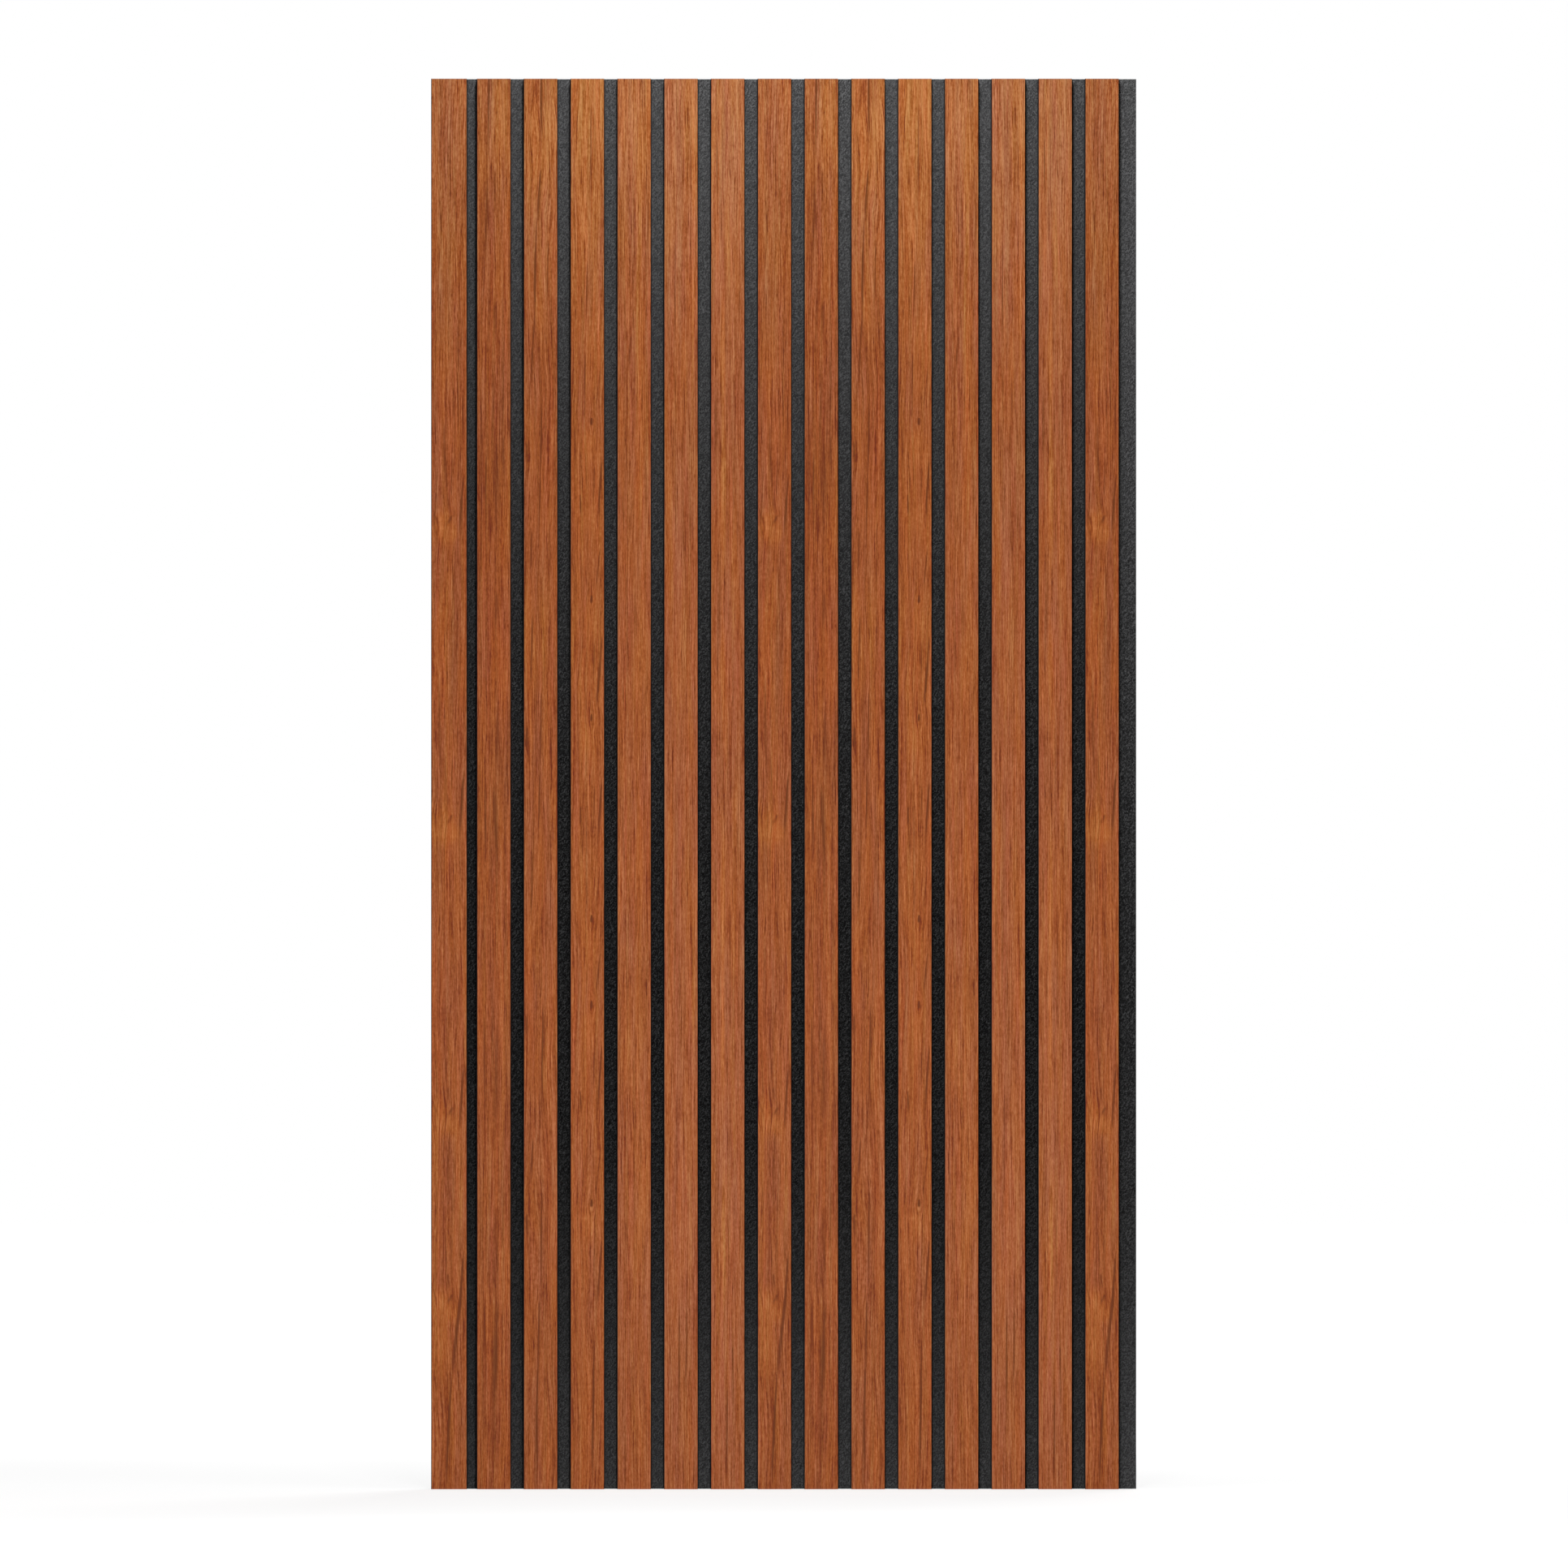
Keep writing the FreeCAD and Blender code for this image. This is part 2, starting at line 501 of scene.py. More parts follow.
def streak_group():
    """Strength of a dark streak, from 0 to 1: sharp where it starts, wide and faint where it ends."""
    names = ("Across", "Up", "Start across", "Start up", "End across", "End up", "Half width")
    g, given, result = new_group("streak", names, ["Strength"])
    length = g.math("SUBTRACT", given["End up"], given["Start up"])
    way = g.math("DIVIDE", g.math("SUBTRACT", given["Up"], given["Start up"]), length)
    lean = g.math("SUBTRACT", given["End across"], given["Start across"])
    middle = g.math("MULTIPLY_ADD", way, lean, given["Start across"])
    aside = g.math("ABSOLUTE", g.math("SUBTRACT", given["Across"], middle))
    width_share = g.math("MULTIPLY_ADD", way, STREAK_WIDENING, STREAK_START)
    half_width = g.math("MULTIPLY", given["Half width"], width_share)
    body = g.smooth(g.math("DIVIDE", aside, half_width), STREAK_REACH, 0.0)
    risen = g.smooth(way, 0.0, STREAK_RISE)
    length_share = g.math("MULTIPLY", risen, g.smooth(way, 1.0, STREAK_FADE))
    g.feed(result["Strength"], g.math("MULTIPLY", body, length_share))
    return g.tree


def knot_group():
    """Nearness to a point, from 1 at the point to 0, and the shift of the grain that goes round it."""
    names = ("Across", "Up", "Knot across", "Knot up", "Reach across", "Reach up", "Push")
    g, given, result = new_group("knot", names, ["Nearness", "Shift"])
    aside = g.math("SUBTRACT", given["Across"], given["Knot across"])
    above = g.math("SUBTRACT", given["Up"], given["Knot up"])
    squares = []
    for offset, reach in ((aside, given["Reach across"]), (above, given["Reach up"])):
        away = g.math("ABSOLUTE", g.math("DIVIDE", offset, reach))
        squares.append(g.math("POWER", away, 2.0))
    nearness = g.math("EXPONENT", g.math("MULTIPLY", g.total(squares), -1.0))
    pushed = g.math("MULTIPLY", g.math("MULTIPLY", aside, nearness), given["Push"])
    g.feed(result["Nearness"], nearness)
    g.feed(result["Shift"], g.math("MULTIPLY", pushed, -1.0))
    return g.tree


def swaying_grain(g, design, place, knot_tree):
    """The place in a grain that sways slowly and goes round the design's knots."""
    across, depth, up = g.split(place)
    sway = g.centred(g.noise(g.scaled(place, SWAY_SCALE)))
    ripple = g.centred(g.noise(g.scaled(place, RIPPLE_SCALE, (7, 3, 1))))
    shifts = [
        across,
        g.math("MULTIPLY", sway, SWAY_REACH * design.wave),
        g.math("MULTIPLY", ripple, RIPPLE_REACH * design.wave),
    ]
    for knot in design.knots:
        shifts.append(g.group(knot_tree, across, up, *map(float, knot))["Shift"])
    return g.join(g.total(shifts), depth, up)


def grain_noise(g, grain, period, length, shift, detail=1.0, roughness=0.5):
    """Noise with one period across the slat and another along it, in mm."""
    return g.noise(g.scaled(grain, (1 / period, 1, 1 / length), shift), detail, roughness)


def grain_levels(g, grain):
    """What each layer of grain and of fine dark lines adds to the tone, in screen levels."""
    levels = []
    for index, (period, length, swing) in enumerate(GRAIN_LAYERS):
        shift = tuple(index * step for step in GRAIN_STEP)
        layer = grain_noise(g, grain, period, length, shift, roughness=GRAIN_ROUGHNESS)
        levels.append(g.math("MULTIPLY", g.centred(layer), swing))
    for index, (period, length, half_width, strength) in enumerate(LINE_LAYERS):
        shift = tuple(start + index * step for start, step in zip(LINE_START, LINE_STEP))
        off_line = g.math("ABSOLUTE", g.centred(grain_noise(g, grain, period, length, shift)))
        kept = g.smooth(grain_noise(g, grain, *LINE_GAPS, shift[::-1]), *LINE_GAP_CUT)
        line = g.math("MULTIPLY", g.smooth(off_line, half_width, 0.0), kept)
        levels.append(g.math("MULTIPLY", line, -strength))
    return levels


def streak_levels(g, design, across, up, streak_tree):
    """How deep the design's own streaks are, in screen levels."""
    depths = []
    for start, end, half_width, strength in design.streaks:
        ends = [float(value) for value in (*start, *end, half_width)]
        share = g.group(streak_tree, across, up, *ends)["Strength"]
        depths.append(g.math("MULTIPLY", share, float(strength)))
    return g.total(depths)


def patch_levels(g, design, across, up, knot_tree):
    """How much the design's own patches lift the tone, in screen levels."""
    lifts = []
    for *spot, lift in design.patches:
        near = g.group(knot_tree, across, up, *map(float, spot), 0.0)["Nearness"]
        lifts.append(g.math("MULTIPLY", near, float(lift)))
    return g.total(lifts)


def bare_wood(shown):
    """A colour of the wood, as it shows on a screen, without the white that the gloss adds."""
    return (*(max(linear(channel) - WOOD_VEIL, WOOD_DARKEST) for channel in shown), 1.0)


def wood_ramp(g, tone, stops):
    return g.ramp(tone, [(place, bare_wood(shown)) for place, shown in stops])


def tone_of(g, level, up):
    """The tone for a level, with painted light that lifts it and makes it swing more towards the top.
    """
    # painted light: lighter and livelier towards the top
    lively = g.math("MULTIPLY", level, g.smooth(up, *PAINTED_LIGHT_HEIGHTS, 1.0, PAINTED_TOP_SWING))
    lit = g.math("ADD", lively, g.smooth(up, *PAINTED_LIGHT_HEIGHTS, 0.0, PAINTED_TOP_LIFT))
    return g.math("MULTIPLY_ADD", lit, 1 / TONE_SPAN, 0.5)


def clear_wood(g, design, grain, patch, tone):
    """The tone's colour, between tan and rose in slow clouds, and nearer to tan in the patches."""
    clouds = g.centred(grain_noise(g, grain, *ROSE_CLOUDS, detail=2.0))
    rose = g.math("MULTIPLY_ADD", clouds, HUE_SWING, design.rose)
    rose_share = g.smooth(g.math("ADD", rose, g.math("MULTIPLY", patch, -PATCH_TAN)), 0.0, 1.0)
    return g.mix(rose_share, wood_ramp(g, tone, TAN_WOOD), wood_ramp(g, tone, ROSE_WOOD))


def browned(g, colour, design, mark, band_share, slender_share):
    """The colour, browner in the dark marks."""
    parts = [
        g.smooth(mark, 0.0, MOST_BROWN_DEPTH, 0.0, MOST_BROWN),
        g.math("MULTIPLY", band_share, BAND_BROWN * design.bands),
        g.math("MULTIPLY", slender_share, SLENDER_BROWN),
    ]
    share = g.math("MINIMUM", g.total(parts), MOST_BROWN)
    return g.mix(share, colour, bare_wood(STREAK_BROWN))


def edge_shaded(g, colour, across, width):
    """The colour, with painted shade along the facing's two long edges."""
    left = g.smooth(across, *LEFT_EDGE_SHADE)
    right = g.smooth(g.math("SUBTRACT", width, across), *RIGHT_EDGE_SHADE)
    return g.mix(g.math("MULTIPLY", left, right), bare_wood(EDGE_SHADE_BROWN), colour)


def tinted(g, colour, grain, up):
    """The colour, with fine lines that turn from green to red, and painted light that makes it more
    golden at the top.
    """
    redder = g.centred(grain_noise(g, grain, *RED_LINES, detail=2.0))
    red = g.math("MULTIPLY_ADD", redder, RED_SWING, 1.0)
    green = g.math("MULTIPLY_ADD", redder, -RED_SWING, 1.0)
    painted_gold = g.smooth(up, *PAINTED_LIGHT_HEIGHTS, 1.0, PAINTED_TOP_GOLD)
    return g.scaled(colour, g.join(red, g.math("MULTIPLY", green, painted_gold), painted_gold))


def wood_material(design, seed, streak_tree, knot_tree, slat_size):
    """The wood of one design, for a facing of the given width, thickness and height in mm."""
    material, g, shader = new_material(design.name)
    generated = g.node("ShaderNodeTexCoord").outputs["Generated"]
    place = g.scaled(generated, slat_size, (0, DESIGN_STEP * seed, 0))
    across, _, up = g.split(place)
    grain = swaying_grain(g, design, place, knot_tree)

    slender = grain_noise(g, grain, *SLENDER_STREAKS, detail=2.0)
    slender_share = g.smooth(slender, *SLENDER_CUT)
    band_share = g.smooth(grain_noise(g, grain, *BROAD_BANDS), *BAND_CUT)
    pore_share = g.smooth(grain_noise(g, grain, *PORES), *PORE_CUT)
    streaks = streak_levels(g, design, across, up, streak_tree)
    mark = g.math("MULTIPLY", streaks, g.smooth(slender, *FRAY_CUT, *FRAY))
    patch = patch_levels(g, design, across, up, knot_tree)

    levels = [
        design.tone + BASE_LEVEL,
        *grain_levels(g, grain),
        g.math("MULTIPLY", slender_share, -SLENDER_DEPTH),
        g.math("MULTIPLY", band_share, -float(design.bands)),
        g.math("MULTIPLY", pore_share, -PORE_DEPTH),
        g.math("MULTIPLY", mark, -MARK_SHARE),
        patch,
    ]
    tone = tone_of(g, g.total(levels), up)
    clear = clear_wood(g, design, grain, patch, tone)
    streaked = browned(g, clear, design, mark, band_share, slender_share)
    # painted shade along the facing's long edges
    with_edge_shade = edge_shaded(g, streaked, across, slat_size[0])
    g.feed(shader["Base Color"], tinted(g, with_edge_shade, grain, up))

    without_pores = g.math("SUBTRACT", 1.0, g.math("MULTIPLY", pore_share, PORE_RELIEF))
    relief = g.math("SUBTRACT", without_pores, slender)
    g.feed(shader["Normal"], g.bump(relief, WOOD_RELIEF))
    g.feed(shader["Roughness"], g.smooth(tone, 0.0, 1.0, *WOOD_ROUGHNESS))
    shader["Specular IOR Level"].default_value = WOOD_GLOSS
    return material


# Facing shapes

FACING_EASE = 0.4 * MM       # radius of the two long front edges
EASE_STEPS = 5

# The wood's map holds a facing as so many lengths side by side, then their backs, then its two
# ends. These are shares of the map's side.
MAP_NAME = "OFBake"
MAP_RUNS = 6
MAP_FOOT = 0.01
MAP_HEIGHT = 0.98
MAP_GAP = 0.004              # before each length
BACK_WIDTH = 0.006
BACK_STEP = BACK_WIDTH + 0.003
END_STEP = 0.008


def facing_profile(low, high):
    """The facing's outline seen from above, from its back left corner round the front."""
    front = low.y + FACING_EASE
    points = [(low.x, high.y)]
    for side, middle in ((-1, low.x + FACING_EASE), (1, high.x - FACING_EASE)):
        for step in range(EASE_STEPS + 1):
            turn = math.radians(90) * step / EASE_STEPS
            out, forward = math.sin(turn), math.cos(turn)
            if side < 0:
                out, forward = forward, out
            points.append((middle + side * FACING_EASE * out, front - FACING_EASE * forward))
    points.append((high.x, high.y))
    return points


def distances(points):
    """Distance of each point from the first, along the line through them."""
    reached = [0.0]
    for (x0, y0), (x1, y1) in zip(points, points[1:]):
        reached.append(reached[-1] + math.hypot(x1 - x0, y1 - y0))
    return reached


def add_mapped_face(mesh, chart, lower, upper, left, right):
    """A face between two lower and two upper corners, over the map's height from left to right."""
    face = mesh.faces.new((lower[0], lower[1], upper[1], upper[0]))
    corners = ((left, 0), (right, 0), (right, 1), (left, 1))
    for loop, (across, top) in zip(face.loops, corners):
        loop[chart].uv = (across, MAP_FOOT + top * MAP_HEIGHT)


def facing_mesh(low, high):
    """A facing between two corners, with a map that gives its front most of the room."""
    profile = facing_profile(low, high)
    reached = distances(profile)
    run_length = (high.z - low.z) / MAP_RUNS
    scale = MAP_HEIGHT / run_length
    run_step = reached[-1] * scale + MAP_GAP
    backs_left = MAP_GAP + MAP_RUNS * run_step
    ends_left = backs_left + MAP_RUNS * BACK_STEP

    mesh = bmesh.new()
    chart = mesh.loops.layers.uv.new(MAP_NAME)
    rings = []
    for level in range(MAP_RUNS + 1):
        z = low.z + level * run_length
        rings.append([mesh.verts.new((x, y, z)) for x, y in profile])
    for run, (lower, upper) in enumerate(zip(rings, rings[1:])):
        left = MAP_GAP + run * run_step
        for i in range(len(profile) - 1):
            ends = [left + distance * scale for distance in reached[i:i + 2]]
            add_mapped_face(mesh, chart, lower[i:i + 2], upper[i:i + 2], *ends)
        back_left = backs_left + run * BACK_STEP
        closing = ((ring[-1], ring[0]) for ring in (lower, upper))
        add_mapped_face(mesh, chart, *closing, back_left + BACK_WIDTH, back_left)
    for order, ring in enumerate((rings[0][::-1], rings[-1])):
        cap = mesh.faces.new(ring)
        for loop in cap.loops:
            along = (loop.vert.co.x - low.x) * scale
            out = (loop.vert.co.y - low.y) * scale
            loop[chart].uv = (ends_left + out + order * END_STEP, MAP_FOOT + along)
    mesh.normal_update()
    return mesh


def facing_piece(number):
    """The wood facing of one slat."""
    name = slat_node("facing", number)
    low, high = (Vector(corner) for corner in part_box(name))
    piece = new_object("wood_" + name, facing_mesh(low, high))
    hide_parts(name)
    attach(piece, "root")
    return piece


def add_facings():
    """The facings, with the designs in turn. The wood is as wide as a usual slat, and the first and
    widest facing stretches it to fit."""
    designs = [
        swirl_design(),
        banded_design(),
        wavy_design(),
        pin_knot_design(),
        even_design(),
        lined_design(),
        straight_design(),
    ]
    low, high = (Vector(corner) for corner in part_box(slat_node("facing", USUAL_SLAT)))
    slat_size = tuple((high - low) / MM)
    streak_tree = streak_group()
    knot_tree = knot_group()
    woods = [
        wood_material(design, seed, streak_tree, knot_tree, slat_size)
        for seed, design in enumerate(designs, start=1)
    ]
    for number in range(1, SLAT_COUNT + 1):
        piece = facing_piece(number)
        piece.data.materials.append(woods[(number - 1) % len(woods)])


# Slat cores and staples

# Noise scales are in cells for each mm across, deep and up. The shift that a noise is given
# besides only sets it apart from the others.
FIBRE_SCALE = (1.6, 1.6, 0.5)
FIBRE_CUT = (0.58, 0.76)     # values of the noise between which a pale fibre comes up
SAW_SCALE = (0.05, 0.05, 0.9)
BOARD_CLOUD_SCALE = (0.08, 0.08, 0.03)
BOARD_DARK = (0.013, 0.012, 0.011, 1)
BOARD_LIGHT = (0.021, 0.019, 0.017, 1)
FIBRE_COLOUR = (0.075, 0.066, 0.056, 1)
FIBRE_SHARE = 0.55           # most that a pale fibre shows of its colour
SAW_SHARE = 0.4              # height of the saw marks against that of the fibres
BOARD_RELIEF = 0.08 * MM
BOARD_ROUGHNESS = (0.92, 0.76)
BOARD_GLOSS = 0.2

DRAWN_SCALE = (9.0, 9.0, 0.6)
DULL_SCALE = (0.7, 0.7, 0.4)
ZINC_BRIGHT = (0.38, 0.38, 0.37, 1)
ZINC_DULL = (0.24, 0.24, 0.23, 1)
ZINC_ROUGHNESS = (0.5, 0.7)
WIRE_RELIEF = 0.01 * MM


def object_millimetres(g):
    """The place on the panel, in mm."""
    return g.scaled(g.node("ShaderNodeTexCoord").outputs["Object"], (1 / MM, 1 / MM, 1 / MM))


def core_material():
    """Black dyed fibreboard: sawn faces with short pale fibres and fine saw marks."""
    material, g, shader = new_material("dyed_fibreboard")
    place = object_millimetres(g)
    fibres = g.noise(g.scaled(place, FIBRE_SCALE), detail=3.0, roughness=0.6)
    clouds = g.noise(g.scaled(place, BOARD_CLOUD_SCALE, (4, 2, 9)), detail=2.0)
    saw = g.noise(g.scaled(place, SAW_SCALE, (6, 3, 5)))
    body = g.mix(g.smooth(clouds, *NOISE_SPAN), BOARD_DARK, BOARD_LIGHT)
    pale = g.math("MULTIPLY", g.smooth(fibres, *FIBRE_CUT), FIBRE_SHARE)
    g.feed(shader["Base Color"], g.mix(pale, body, FIBRE_COLOUR))
    relief = g.math("ADD", fibres, g.math("MULTIPLY", saw, SAW_SHARE))
    g.feed(shader["Normal"], g.bump(relief, BOARD_RELIEF))
    g.feed(shader["Roughness"], g.smooth(fibres, *NOISE_SPAN, *BOARD_ROUGHNESS))
    shader["Specular IOR Level"].default_value = BOARD_GLOSS
    return material


def staple_material():
    """Galvanised wire, drawn lengthwise, with dull patches."""
    material, g, shader = new_material("galvanised_wire")
    place = object_millimetres(g)
    drawn = g.noise(g.scaled(place, DRAWN_SCALE), detail=2.0)
    dull = g.noise(g.scaled(place, DULL_SCALE, (3, 8, 1)), detail=2.0)
    zinc = g.mix(g.smooth(dull, *NOISE_MIDDLE), ZINC_BRIGHT, ZINC_DULL)
    g.feed(shader["Base Color"], zinc)
    g.feed(shader["Roughness"], g.smooth(dull, *NOISE_SPAN, *ZINC_ROUGHNESS))
    g.feed(shader["Normal"], g.bump(drawn, WIRE_RELIEF))
    shader["Metallic"].default_value = 1.0
    return material


def dress_frame_nodes():
    """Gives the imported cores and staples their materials."""
    fibreboard = core_material()
    for number in range(1, SLAT_COUNT + 1):
        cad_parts[slat_node("core", number)].material_slots[0].material = fibreboard
    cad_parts["staples"].material_slots[0].material = staple_material()


# Felt

FELT_ROUND = 0.5 * MM        # softness of the felt's cut edges
ROUND_STEPS = 3
CROWN_HALF = 5 * MM          # half the staple's crown
DENT_DEPTH = 1.15 * MM       # how far a crown pulls the felt's back in beside it
DENT_REACH = 2.4 * MM
CREASE_DEPTH = 0.9 * MM      # how far the slats draw the felt's front in beside them
CREASE_REACH = 1.2 * MM
PINCH_NAME = "pinch"         # the mesh's own record of how deep in a crease each point lies, 0 to 1; it places the painted shade
FELT_CELL = 40 * MM          # longest cell of the felt's mesh

# Mesh lines, in mm from a staple's middle across and along the slat, and from a slat's side
ACROSS_DENT = (0, 0.6, 1.2, 2.0, 3.2, 5.0)
ALONG_DENT = (0, 2.5, 4.4, 5.2, 6.0, 7.2, 9.5)
ACROSS_CREASE = (-0.05, 0, 0.35, 0.75, 1.2)

# Noise scales are in cells for each mm across, deep and up.
WARP_SCALE = (0.35, 0.35, 0.35)
WARP_REACH = (4.0, 1.0, 5.0)  # how far the warp moves the matting, in mm
MATTING_SCALE = (0.8, 0.8, 0.65)
MATTING_CUT = (0.36, 0.64)   # values of the noise where the matting is darkest and palest
TUFT_SCALE = (0.12, 0.12, 0.12)
FLECK_SCALE = (1.3, 1.3, 0.8)
FLECK_CUT = (0.6, 0.74)
FELT_GREY = 0.0141
FELT_BLUE = 1.02             # blue in the felt's grey, against the red and green
FELT_SWING = 1.2             # how many times the matting doubles or halves the grey

# The front's mottling, and painted shade that darkens its grey, are strongest a little below the
# middle. They come in between these heights and these depths, and change the grey and its swing.
MOTTLE_SHADE_TOP = (400.0, -100.0)
MOTTLE_SHADE_FOOT = (-500.0, -200.0)
MOTTLE_SHADE_DEPTH = (-4.0, -7.0)
# painted shade: how much darker the grey is where the mottling is strongest
PAINTED_SHADE_GREY = -0.0055
MOTTLED_SWING = 1.35

CLOUD_COLOUR = (0.0155, 0.0155, 0.0158, 1)
CLOUD_SHARE = 0.25
FLECK_COLOUR = (0.05, 0.05, 0.051, 1)
FLECK_SHARE = 0.5
# painted shade in the creases beside the slats
CREASE_SHADE_COLOUR = (0.002, 0.002, 0.002, 1)
CREASE_SHADE_CUT = (0.05, 0.45)    # pinch between which the painted shade takes over
FELT_RELIEF = 0.25 * MM
FELT_ROUGHNESS = (0.98, 0.88)
FELT_GLOSS = 0.1
FELT_SHEEN = 0.12
FELT_SHEEN_ROUGHNESS = 0.5


def felt_grey(g, place, matted):
    """The grey of the matted fibres at each place, with painted shade a little below the middle of the
    front.
    """
    _, depth, height = g.split(place)
    low_share = g.math("MULTIPLY", g.smooth(height, *MOTTLE_SHADE_TOP), g.smooth(height, *MOTTLE_SHADE_FOOT))
    mottling_and_shade = g.math("MULTIPLY", low_share, g.smooth(depth, *MOTTLE_SHADE_DEPTH))
    spread = g.math("MULTIPLY_ADD", mottling_and_shade, MOTTLED_SWING, FELT_SWING)
    swing = g.math("MULTIPLY", g.smooth(matted, *MATTING_CUT, -1.0, 1.0), spread)
    # painted shade darkens the grey a little below the middle of the front
    middle_grey = g.math("MULTIPLY_ADD", mottling_and_shade, PAINTED_SHADE_GREY, FELT_GREY)
    return g.math("MULTIPLY", g.math("POWER", 2.0, swing), middle_grey)


def felt_material():
    """Black pressed felt: matted fibres with paler ones among them, painted shade that darkens it a
    little below the middle of the front, and painted shade, near black, in the creases.
    """
    material, g, shader = new_material("pressed_felt")
    place = object_millimetres(g)
    warp = g.noise(g.scaled(place, WARP_SCALE, (2, 7, 5)))
    swept = g.scaled(g.join(warp, warp, warp), WARP_REACH, place)
    matted = g.noise(g.scaled(swept, MATTING_SCALE), detail=3.0, roughness=0.65)
    tufts = g.noise(g.scaled(place, TUFT_SCALE, (9, 1, 3)), detail=2.0)
    flecks = g.noise(g.scaled(place, FLECK_SCALE, (5, 5, 2)))

    grey = felt_grey(g, place, matted)
    body = g.join(grey, grey, g.math("MULTIPLY", grey, FELT_BLUE))
    clouded = g.mix(g.smooth(tufts, *NOISE_MIDDLE, 0.0, CLOUD_SHARE), body, CLOUD_COLOUR)
    fleck_share = g.math("MULTIPLY", g.smooth(flecks, *FLECK_CUT), FLECK_SHARE)
    open_felt = g.mix(fleck_share, clouded, FLECK_COLOUR)
    # painted shade in the creases beside the slats, where the pinch is deep
    pinch = g.node("ShaderNodeAttribute", attribute_name=PINCH_NAME).outputs["Fac"]
    g.feed(shader["Base Color"], g.mix(g.smooth(pinch, *CREASE_SHADE_CUT), open_felt, CREASE_SHADE_COLOUR))
    g.feed(shader["Normal"], g.bump(matted, FELT_RELIEF))
    g.feed(shader["Roughness"], g.smooth(matted, *NOISE_SPAN, *FELT_ROUGHNESS))
    shader["Specular IOR Level"].default_value = FELT_GLOSS
    shader["Sheen Weight"].default_value = FELT_SHEEN
    shader["Sheen Roughness"].default_value = FELT_SHEEN_ROUGHNESS
    return material


def mesh_lines(low, high, wanted):
    """Mesh lines from low to high: the wanted ones in between, and more where they lie far apart."""
    stops = sorted({low, high, *(value for value in wanted if low < value < high)})
    lines = [low]
    for start, stop in zip(stops, stops[1:]):
        cells = math.ceil((stop - start) / FELT_CELL)
        lines += [start + (stop - start) * cell / cells for cell in range(1, cells + 1)]
    return lines


def nearest(value, places):
    return min(places, key=lambda place: abs(place - value))


def dent(x, z, centres, heights):
    """How far the felt's back lies in at a place near the staples' crowns."""
    aside = x - nearest(x, centres)
    past_crown = max(abs(z - nearest(z, heights)) - CROWN_HALF, 0)
    return DENT_DEPTH * math.exp(-(aside ** 2 + past_crown ** 2) / DENT_REACH ** 2)


def beside(middles, offsets):
    """Places at the offsets, in mm, on both sides of each middle."""
    return [middle + side * offset * MM for middle in middles for offset in offsets for side in (-1, 1)]


def crease(x, spans):
    """How far the felt's front lies in at a place in a gap, near the slats beside it."""
    away = min(max(left - x, x - right) for left, right in spans)
    if away < 0:
        return 0.0
    return CREASE_DEPTH * max(1 - away / CREASE_REACH, 0) ** 2


def rim_places(columns, rows):
    """Column and row of each place round a grid's rim."""
    right, top = columns - 1, rows - 1
    places = [(column, 0) for column in range(right)]
    places += [(right, row) for row in range(top)]
    places += [(column, top) for column in range(right, 0, -1)]
    places += [(0, row) for row in range(top, 0, -1)]
    return places


def add_sheet(mesh, xs, zs, depth_at):
    """Corners and faces of a sheet over a grid, at the depth that depth_at gives for each place."""
    sheet = [[mesh.verts.new((x, depth_at(x, z), z)) for x in xs] for z in zs]
    for lower, upper in zip(sheet, sheet[1:]):
        for i in range(len(xs) - 1):
            mesh.faces.new((lower[i], lower[i + 1], upper[i + 1], upper[i]))
    return sheet


def rim_sections(front, back):
    """How far out each line round the cut edges lies, 0 to 1, and its depth, from front to back."""
    turns = [math.radians(90) * step / ROUND_STEPS for step in range(1, ROUND_STEPS + 1)]
    sections = [(math.sin(turn), front + FELT_ROUND * (1 - math.cos(turn))) for turn in turns]
    return sections + [(out, front + back - depth) for out, depth in reversed(sections)]


def add_rim(mesh, xs, zs, front, back, sections):
    """Cut edges that join the front and back sheets through lines at the given sections."""
    places = rim_places(len(xs), len(zs))
    rings = [[front[row][column] for column, row in places]]
    for out, depth in sections:
        ring = []
        for column, row in places:
            x_out = (column == len(xs) - 1) - (column == 0)
            z_out = (row == len(zs) - 1) - (row == 0)
            x = xs[column] + FELT_ROUND * out * x_out
            z = zs[row] + FELT_ROUND * out * z_out
            ring.append(mesh.verts.new((x, max(depth, front[row][column].co.y), z)))
        rings.append(ring)
    rings.append([back[row][column] for column, row in places])
    for inner, outer in zip(rings, rings[1:]):
        for i in range(len(inner)):
            mesh.faces.new((inner[i - 1], outer[i - 1], outer[i], inner[i]))


def felt_mesh(low, high, spans, heights):
    """The felt between two corners, for slats with these spans and staples at these heights."""
    centres = [(left + right) / 2 for left, right in spans]
    across = beside(centres, ACROSS_DENT)
    for left, right in spans:
        across += [left - offset * MM for offset in ACROSS_CREASE]
        across += [right + offset * MM for offset in ACROSS_CREASE]
    xs = mesh_lines(low.x + FELT_ROUND, high.x - FELT_ROUND, across)
    zs = mesh_lines(low.z + FELT_ROUND, high.z - FELT_ROUND, beside(heights, ALONG_DENT))

    mesh = bmesh.new()
    pinch = mesh.verts.layers.float.new(PINCH_NAME)
    front = add_sheet(mesh, xs, zs, lambda x, z: low.y + crease(x, spans))
    back = add_sheet(mesh, xs, zs, lambda x, z: high.y - dent(x, z, centres, heights))
    for line in front:
        for vertex in line:
            vertex[pinch] = (vertex.co.y - low.y) / CREASE_DEPTH
    add_rim(mesh, xs, zs, front, back, rim_sections(low.y, high.y))
    bmesh.ops.recalc_face_normals(mesh, faces=mesh.faces)
    return mesh


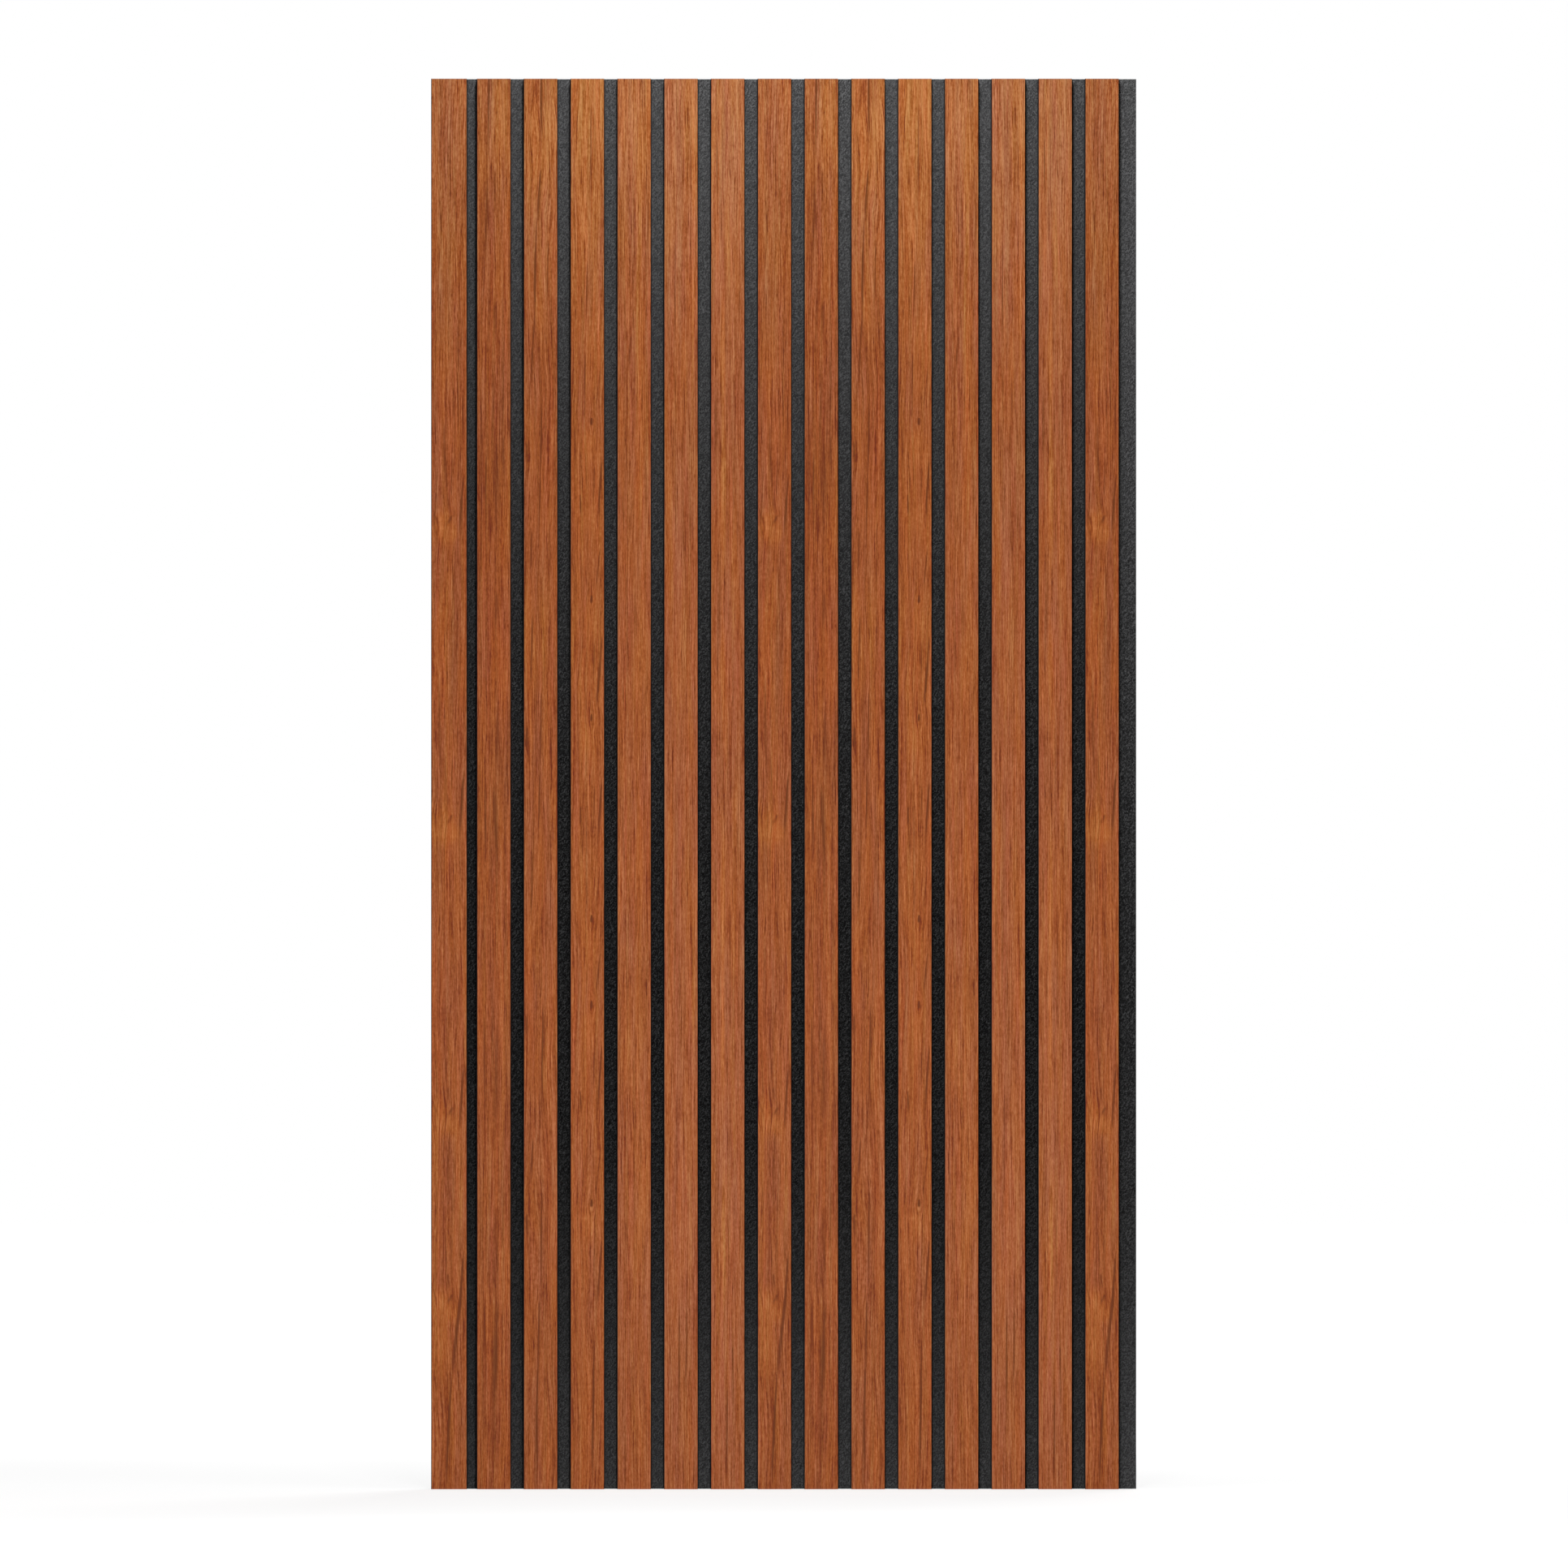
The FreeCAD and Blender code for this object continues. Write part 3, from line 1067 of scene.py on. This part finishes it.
def felt_piece():
    """The felt board, with soft cut edges, a dent round each staple and a crease beside each slat."""
    low, high = (Vector(corner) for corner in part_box("felt_board"))
    cores = [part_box(slat_node("core", number)) for number in range(1, SLAT_COUNT + 1)]
    spans = [(left[0], right[0]) for left, right in cores]
    rise = (high.z - low.z - 2 * STAPLE_END_DISTANCE) / (STAPLES_PER_SLAT - 1)
    heights = [low.z + STAPLE_END_DISTANCE + i * rise for i in range(STAPLES_PER_SLAT)]
    piece = new_object("felt", felt_mesh(low, high, spans, heights))
    piece.data.shade_smooth()
    piece.data.materials.append(felt_material())
    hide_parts("felt_board")
    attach(piece, "root")
    return piece


# Camera, floor and light

PHOTO_SIDE = 1932            # pixels
PANEL_HEIGHT_PX = 1738
PANEL_CENTRE_PX = (965.7, 966.0)
CAMERA_DISTANCE = 20.0       # from the panel's front
WORLD_FILL = 0.1             # the world's strength as light on the object
FLOOR_HALF = 12.0
FLOOR_COLOUR = (0.8, 0.8, 0.8, 1.0)   # as light meets it
FLOOR_SHADE = (0.4, 0.4, 0.4, 1.0)    # to the eye, with a glow of its own besides
FLOOR_GLOW = (0.78, 1.0)     # by the panel and far from it
FLOOR_FADE = (0.9, 2.6)      # distances from the panel over which the glow changes

# Name, place, target, size and power in watts of each lamp
LAMPS = [
    ("left_softbox", (-2.1, -1.25, -0.25), (0, 0, -0.4), (0.7, 0.7), 13.4),
    ("right_softbox", (2.1, -1.25, -0.25), (0, 0, -0.4), (0.7, 0.7), 13.4),
    ("high_softbox", (0, -2.6, 0.85), (0, 0, 0.2), (0.3, 0.3), 13.6),
    ("front_softbox", (0, -2.5, -0.3), (0, 0, -0.3), (0.3, 0.3), 7.2),
    ("low_softbox", (0, -1.3, -0.48), (0, 0, -0.75), (0.3, 0.2), 4.1),
    ("top_softbox", (0, -0.37, 1.0), (0, 0, 0.6), (0.3, 0.2), 1.7),
    ("back_softbox", (0.7, 2.4, 0.9), (0, 0, 0), (1.2, 1.2), 45.0),
]
UNMIRRORED_LAMP = "front_softbox"     # it would shine back from the facings
# The same for the lamps that light the felt alone, and how far their beams spread, in degrees
FELT_WASHES = [
    ("upper_felt_wash", (0, -1.5, 1.6), (0, 0, 1.2), (0.25, 0.25), 30.5, 67),
    ("lower_felt_wash", (0, -1.5, -0.5), (0, 0, -1.2), (0.25, 0.25), 7.0, 60),
    ("upper_tab_wash", (1.5, -0.75, 0.35), (0.3, 0, 0.3), (0.25, 0.25), 1.3, 44),
    ("lower_tab_wash", (1.5, -0.75, -0.55), (0.3, 0, -0.7), (0.15, 0.15), 1.1, 40),
]


def add_camera():
    """Square on, from far off, so that the panel fills the frame as it does in the photograph."""
    low, high = cad_box
    pixel = (high[2] - low[2]) / PANEL_HEIGHT_PX
    data = bpy.data.cameras.new("camera")
    data.lens = data.sensor_width * CAMERA_DISTANCE / (PHOTO_SIDE * pixel)
    data.clip_end = 5 * CAMERA_DISTANCE
    camera = bpy.data.objects.new("camera", data)
    right = (PHOTO_SIDE / 2 - PANEL_CENTRE_PX[0]) * pixel
    up = (PANEL_CENTRE_PX[1] - PHOTO_SIDE / 2) * pixel
    camera.location = (right, low[1] - CAMERA_DISTANCE, up)
    camera.rotation_euler = (math.radians(90), 0, 0)
    bpy.context.collection.objects.link(camera)
    bpy.context.scene.camera = camera


def seen_directly(g):
    """1 for rays from the camera, straight or by way of a mirror or glass, and 0 for light."""
    path = g.node("ShaderNodeLightPath").outputs
    mirrored = g.math("MAXIMUM", path["Is Glossy Ray"], path["Is Transmission Ray"])
    return g.math("MAXIMUM", path["Is Camera Ray"], mirrored)


def add_world():
    """White to the eye, and a weak even fill to the object."""
    world = bpy.data.worlds.new("studio")
    world.use_nodes = True
    bpy.context.scene.world = world
    g = Graph(world.node_tree)
    background = world.node_tree.nodes["Background"].inputs
    g.feed(background["Color"], (1.0, 1.0, 1.0, 1.0))
    g.feed(background["Strength"], g.smooth(seen_directly(g), 0.0, 1.0, WORLD_FILL, 1.0))


def floor_material():
    """Pale as light meets it. To the eye it looks white and still shows the panel's shadow."""
    material = bpy.data.materials.new("pale_floor")
    material.use_nodes = True
    nodes = material.node_tree.nodes
    nodes.remove(nodes["Principled BSDF"])
    g = Graph(material.node_tree)
    pale = g.node("ShaderNodeBsdfDiffuse", FLOOR_COLOUR)
    shade = g.node("ShaderNodeBsdfDiffuse", FLOOR_SHADE)
    glow = g.node("ShaderNodeEmission")
    across, along, _ = g.split(g.node("ShaderNodeTexCoord").outputs["Object"])
    squares = g.math("ADD", g.math("MULTIPLY", across, across), g.math("MULTIPLY", along, along))
    g.feed(glow.inputs["Strength"], g.smooth(g.math("SQRT", squares), *FLOOR_FADE, *FLOOR_GLOW))
    shown = g.node("ShaderNodeAddShader", shade.outputs[0], glow.outputs[0])
    choice = g.node("ShaderNodeMixShader", seen_directly(g), pale.outputs[0], shown.outputs[0])
    g.feed(nodes["Material Output"].inputs["Surface"], choice.outputs[0])
    return material


def add_floor():
    """A pale floor under the panel."""
    low, _ = cad_box
    mesh = bmesh.new()
    bmesh.ops.create_grid(mesh, x_segments=1, y_segments=1, size=FLOOR_HALF)
    floor = new_object("floor", mesh)
    floor.data.materials.append(floor_material())
    floor.location = (0, 0, low[2])


def add_lamp(name, place, target, size, power):
    """A soft rectangular lamp at place that faces the target."""
    data = bpy.data.lights.new(name, "AREA")
    data.shape = "RECTANGLE"
    data.size, data.size_y = size
    data.energy = power
    lamp = bpy.data.objects.new(name, data)
    lamp.location = place
    lamp.rotation_euler = (Vector(target) - Vector(place)).to_track_quat("-Z", "Y").to_euler()
    lamp.visible_camera = False
    lamp.visible_glossy = name != UNMIRRORED_LAMP
    bpy.context.collection.objects.link(lamp)
    return lamp


def add_lamps():
    for lamp in LAMPS:
        add_lamp(*lamp)


def add_felt_washes(felt):
    """Soft beams that fade down and up the panel, and across its bare tab, for the felt alone."""
    receivers = bpy.data.collections.new("felt_wash_receivers")
    receivers.objects.link(felt)
    for *lamp, spread in FELT_WASHES:
        wash = add_lamp(*lamp)
        wash.data.spread = math.radians(spread)
        wash.light_linking.receiver_collection = receivers


bpy.context.scene.view_settings.view_transform = "Standard"
add_camera()
add_world()
add_floor()
add_lamps()
dress_frame_nodes()
add_facings()
add_felt_washes(felt_piece())
